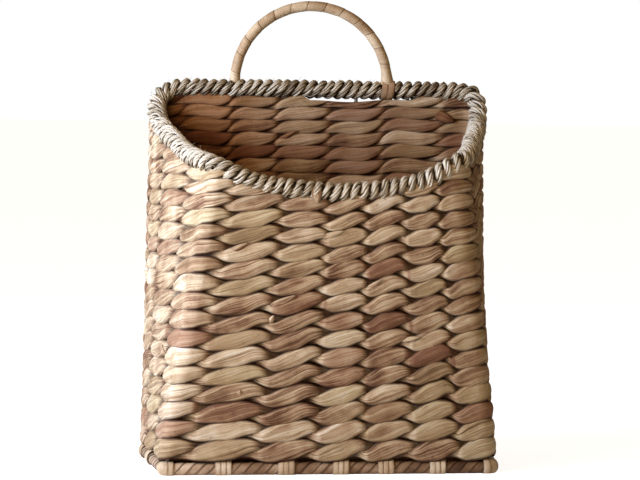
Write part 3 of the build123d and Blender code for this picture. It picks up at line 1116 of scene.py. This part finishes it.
def finished(shader, colour, roughness, specular, height, strength, depth):
    """Surface with its colour and roughness, and a fine relief from the height."""
    relief = {"Strength": strength, "Distance": depth, "Height": height}
    bump = shader.add("ShaderNodeBump", relief).outputs[0]
    surface = shader.add(
        "ShaderNodeBsdfPrincipled",
        {
            "Base Color": colour,
            "Roughness": roughness,
            "Specular IOR Level": specular,
            "Normal": bump,
        },
    )
    shader.add("ShaderNodeOutputMaterial", {0: surface.outputs[0]})


def fibre_group():
    """Shader group: fibres that run along a strand, as a mask of streaks and a height."""
    group = bpy.data.node_groups.new("plant_fibres", "ShaderNodeTree")
    group.interface.new_socket("Vector", in_out="INPUT", socket_type="NodeSocketVector")
    for name, value in (("Along", 20.0), ("Across", 700.0)):
        socket = group.interface.new_socket(name, in_out="INPUT", socket_type="NodeSocketFloat")
        socket.default_value = value
    group.interface.new_socket("Streaks", in_out="OUTPUT", socket_type="NodeSocketFloat")
    group.interface.new_socket("Height", in_out="OUTPUT", socket_type="NodeSocketFloat")
    shader = Shader(group)
    given = shader.add("NodeGroupInput")
    scale = shader.add("ShaderNodeCombineXYZ", {0: given.outputs[1], 1: given.outputs[2], 2: 1.0})
    stretched = shader.add(
        "ShaderNodeVectorMath", {0: given.outputs[0], 1: scale.outputs[0]}, operation="MULTIPLY"
    )
    fine = shader.noise(stretched.outputs[0], 1.0, detail=3.0, roughness=0.6, distortion=0.15)
    coarse = shader.noise(stretched.outputs[0], 0.28, detail=2.0, roughness=0.5, distortion=0.1)
    both = shader.math("MULTIPLY_ADD", fine, 0.55, shader.math("MULTIPLY", coarse, 0.45))
    streaks, height = shader.spread(both, 0.33, 0.67), shader.spread(both, 0.32, 0.68)
    shader.add("NodeGroupOutput", {0: streaks, 1: height})
    return group


fibres = fibre_group()


def fibre_nodes(shader, along, across):
    """Streaks and height of fibres that follow a strand, at their own fineness."""
    uv = shader.add("ShaderNodeUVMap", uv_map="fibre").outputs[0]
    made = shader.add("ShaderNodeGroup", {0: uv, 1: along, 2: across}, node_tree=fibres)
    return made.outputs[0], made.outputs[1]


def hyacinth_material():
    made, shader = new_material("dried_hyacinth")
    streaks, height = fibre_nodes(shader, 26, 1000)
    blotches = shader.noise_in_place(38, 4.0)
    flecks = shader.noise_in_place(210, 3.0, 0.65)
    streaked = shader.spread(streaks, 0, 1, -0.52, 0.38)
    level = shader.math("ADD", shader.attribute("tone"), streaked)
    level = shader.math("ADD", level, shader.spread(blotches, 0.3, 0.7, -0.22, 0.22))
    colour = shader.ramp(level, [
        (0.0, (90, 56, 32)), (0.25, (143, 106, 73)), (0.5, (176, 143, 103)),
        (0.75, (200, 171, 130)), (1.0, (215, 193, 161)),
    ])
    colour = shader.tinted(colour, "warmth", 0.6, srgb(142, 96, 66))
    colour = shader.tinted(colour, "green", 0.45, srgb(168, 144, 94))
    # the inside of the wall: a browner tint of its own and painted shade, deeper towards the left
    colour = shader.tinted(colour, "inner", 0.9, srgb(172, 126, 80), "MULTIPLY")
    lines = shader.spread(fibre_nodes(shader, 11, 760)[0], 0.34, 0.12, 0.0, 0.6)
    colour = shader.mix(lines, colour, srgb(92, 60, 36))
    spots = shader.spread(flecks, 0.62, 0.74, 0.0, 0.5)
    colour = shader.mix(spots, colour, srgb(86, 58, 38))
    # painted shade in the furrows along the strands
    colour = shader.tinted(colour, "crease", 0.5, srgb(84, 56, 34))
    # painted shade where a strand passes behind the other, along strand edges and at the roots of
    # loose leaf ends
    colour = shader.tinted(colour, "tuck", 0.9, srgb(52, 25, 10))
    rough = shader.spread(streaks, 0, 1, 0.85, 0.7)
    finished(shader, colour, rough, 0.15, height, 0.7, 0.8 * mm)
    return made


def seagrass_material():
    made, shader = new_material("seagrass_cord")
    streaks, height = fibre_nodes(shader, 60, 2600)
    streaked = shader.spread(streaks, 0, 1, -0.3, 0.3)
    colour = shader.ramp(shader.math("ADD", shader.attribute("tone"), streaked), [
        (0.0, (72, 55, 37)), (0.35, (148, 128, 98)), (0.65, (184, 165, 135)),
        (1.0, (202, 184, 154)),
    ])
    finished(shader, colour, 0.8, 0.12, height, 0.5, 0.3 * mm)
    return made


def filling_material():
    made, shader = new_material("rim_filling")
    streaks, height = fibre_nodes(shader, 30, 900)
    # a dark colour as painted shade, seen between the turns of the cord
    colour = shader.ramp(streaks, [(0.0, (58, 44, 28)), (1.0, (96, 78, 52))])
    finished(shader, colour, 0.85, 0.2, height, 0.5, 0.4 * mm)
    return made


def strip_material(name, *stops, edges, edge_share):
    made, shader = new_material(name)
    streaks, height = fibre_nodes(shader, 18, 1500)
    blotches = shader.noise_in_place(60, 3.0)
    level = shader.math("MULTIPLY", shader.attribute("tone"), 0.5)
    level = shader.math("ADD", level, shader.spread(streaks, 0, 1, 0.0, 0.3))
    level = shader.math("ADD", level, shader.spread(blotches, 0.3, 0.7, -0.1, 0.3))
    colour = shader.ramp(level, stops)
    # painted shade along the edges of the strips, at the seams between turns and between strips side
    # by side
    colour = shader.tinted(colour, "crease", edge_share, srgb(*edges))
    finished(shader, colour, 0.55, 0.2, height, 0.35, 0.3 * mm)
    return made


def wire_material(name, dark, light, rough):
    made, shader = new_material(name)
    wear = shader.noise_in_place(160, 4.0)
    colour = shader.ramp(shader.spread(wear, 0.35, 0.65), [(0.0, dark), (1.0, light)])
    finished(shader, colour, rough, 0.5, wear, 0.3, 0.2 * mm)
    return made


# Putting the basket together ----------


def build_basket():
    hyacinth = hyacinth_material()
    for number in range(1, 23):
        row_of_wall(number, hyacinth)
    for number in range(1, 8):
        row_of_floor(number, hyacinth)
    leaf_ends(hyacinth)
    seagrass = seagrass_material()
    rim_cord(seagrass)
    rim_fibres(seagrass)
    rim_filling(filling_material())
    loop_strip(strip_material(
        "loop_strip",
        (0.0, (122, 86, 52)), (0.4, (168, 134, 94)), (0.75, (198, 168, 126)), (1.0, (220, 194, 158)),
        edges=(130, 94, 60), edge_share=0.1,
    ))
    lashing(strip_material(
        "lashing_strip", (0.0, (92, 60, 36)), (0.5, (138, 100, 64)), (1.0, (180, 142, 102)),
        edges=(80, 52, 30), edge_share=0.4,
    ))
    base_strip(strip_material(
        "base_strip", (0.0, (72, 45, 25)), (0.5, (126, 92, 60)), (1.0, (192, 158, 120)),
        edges=(50, 28, 12), edge_share=0.55,
    ))
    foot_bindings(strip_material(
        "foot_strip", (0.0, (132, 98, 64)), (0.5, (182, 150, 110)), (1.0, (218, 192, 154)),
        edges=(112, 80, 50), edge_share=0.5,
    ))
    stake = wire_material("stake_wire", (92, 74, 54), (128, 106, 80), 0.6)
    wire = wire_material("frame_wire", (70, 62, 52), (112, 100, 86), 0.5)
    for name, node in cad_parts.items():
        if node.hide_render:
            continue
        node.data.materials.clear()
        node.data.materials.append(stake if "stake" in name else wire)


# Studio ----------


def build_floor():
    bpy.ops.object.select_all(action="DESELECT")
    bpy.ops.mesh.primitive_plane_add(size=40)
    floor = bpy.context.object
    floor.name = "studio_floor"
    made, shader = new_material("pale_floor")
    seen = shader.add("ShaderNodeLightPath").outputs["Is Camera Ray"]
    level = shader.math("MULTIPLY", seen, 0.85)
    matte = shader.add("ShaderNodeBsdfDiffuse", {"Color": (0.82, 0.77, 0.68, 1)})
    glow = shader.add("ShaderNodeEmission", {"Color": (1, 1, 1, 1), "Strength": level})
    both = shader.add("ShaderNodeAddShader", {0: matte.outputs[0], 1: glow.outputs[0]})
    shader.add("ShaderNodeOutputMaterial", {0: both.outputs[0]})
    floor.data.materials.append(made)


def build_world():
    world = bpy.data.worlds.new("studio")
    bpy.context.scene.world = world
    world.use_nodes = True
    world.node_tree.nodes.clear()
    shader = Shader(world.node_tree)
    seen = shader.add("ShaderNodeLightPath").outputs["Is Camera Ray"]
    soft = shader.add("ShaderNodeBackground", {"Color": (1, 0.83, 0.62, 1), "Strength": 0.25})
    white = shader.add("ShaderNodeBackground", {"Color": (1, 1, 1, 1), "Strength": 1.0})
    both = shader.add("ShaderNodeMixShader", {0: seen, 1: soft.outputs[0], 2: white.outputs[0]})
    shader.add("ShaderNodeOutputWorld", {0: both.outputs[0]})


def soft_lamp(name, place, target, size, power, colour):
    lamp = bpy.data.lights.new(name, "AREA")
    lamp.shape = "DISK"
    lamp.size = size
    lamp.energy = power
    lamp.color = colour
    made = bpy.data.objects.new(name, lamp)
    bpy.context.scene.collection.objects.link(made)
    made.location = place
    made.rotation_euler = (Vector(target) - Vector(place)).to_track_quat("-Z", "Y").to_euler()


def build_camera():
    azimuth = math.radians(-7.9)
    elevation = math.radians(3.52)
    distance = 2.411
    target = Vector((-0.0036, 0.004, 0.2116))
    back = Vector((
        math.sin(azimuth) * math.cos(elevation),
        -math.cos(azimuth) * math.cos(elevation),
        math.sin(elevation),
    ))
    lens = bpy.data.cameras.new("view")
    lens.lens = 144.8
    lens.sensor_width = 36
    camera = bpy.data.objects.new("view", lens)
    bpy.context.scene.collection.objects.link(camera)
    camera.location = target + back * distance
    turn = (-back).to_track_quat("-Z", "Y").to_matrix()
    roll = Matrix.Rotation(math.radians(0.8), 3, "Z")
    camera.rotation_euler = (turn @ roll).to_euler()
    bpy.context.scene.camera = camera


build_basket()
build_floor()
build_world()
soft_lamp("key", (-0.92, -0.31, 0.40), (0, 0, 0.2), 0.6, 15.6, (0.80, 1.12, 1.84))
soft_lamp("fill", (-0.75, -0.75, 0.72), (0, 0, 0.2), 0.6, 6.9, (1.0, 0.79, 0.55))
build_camera()
bpy.context.scene.view_settings.view_transform = "Standard"
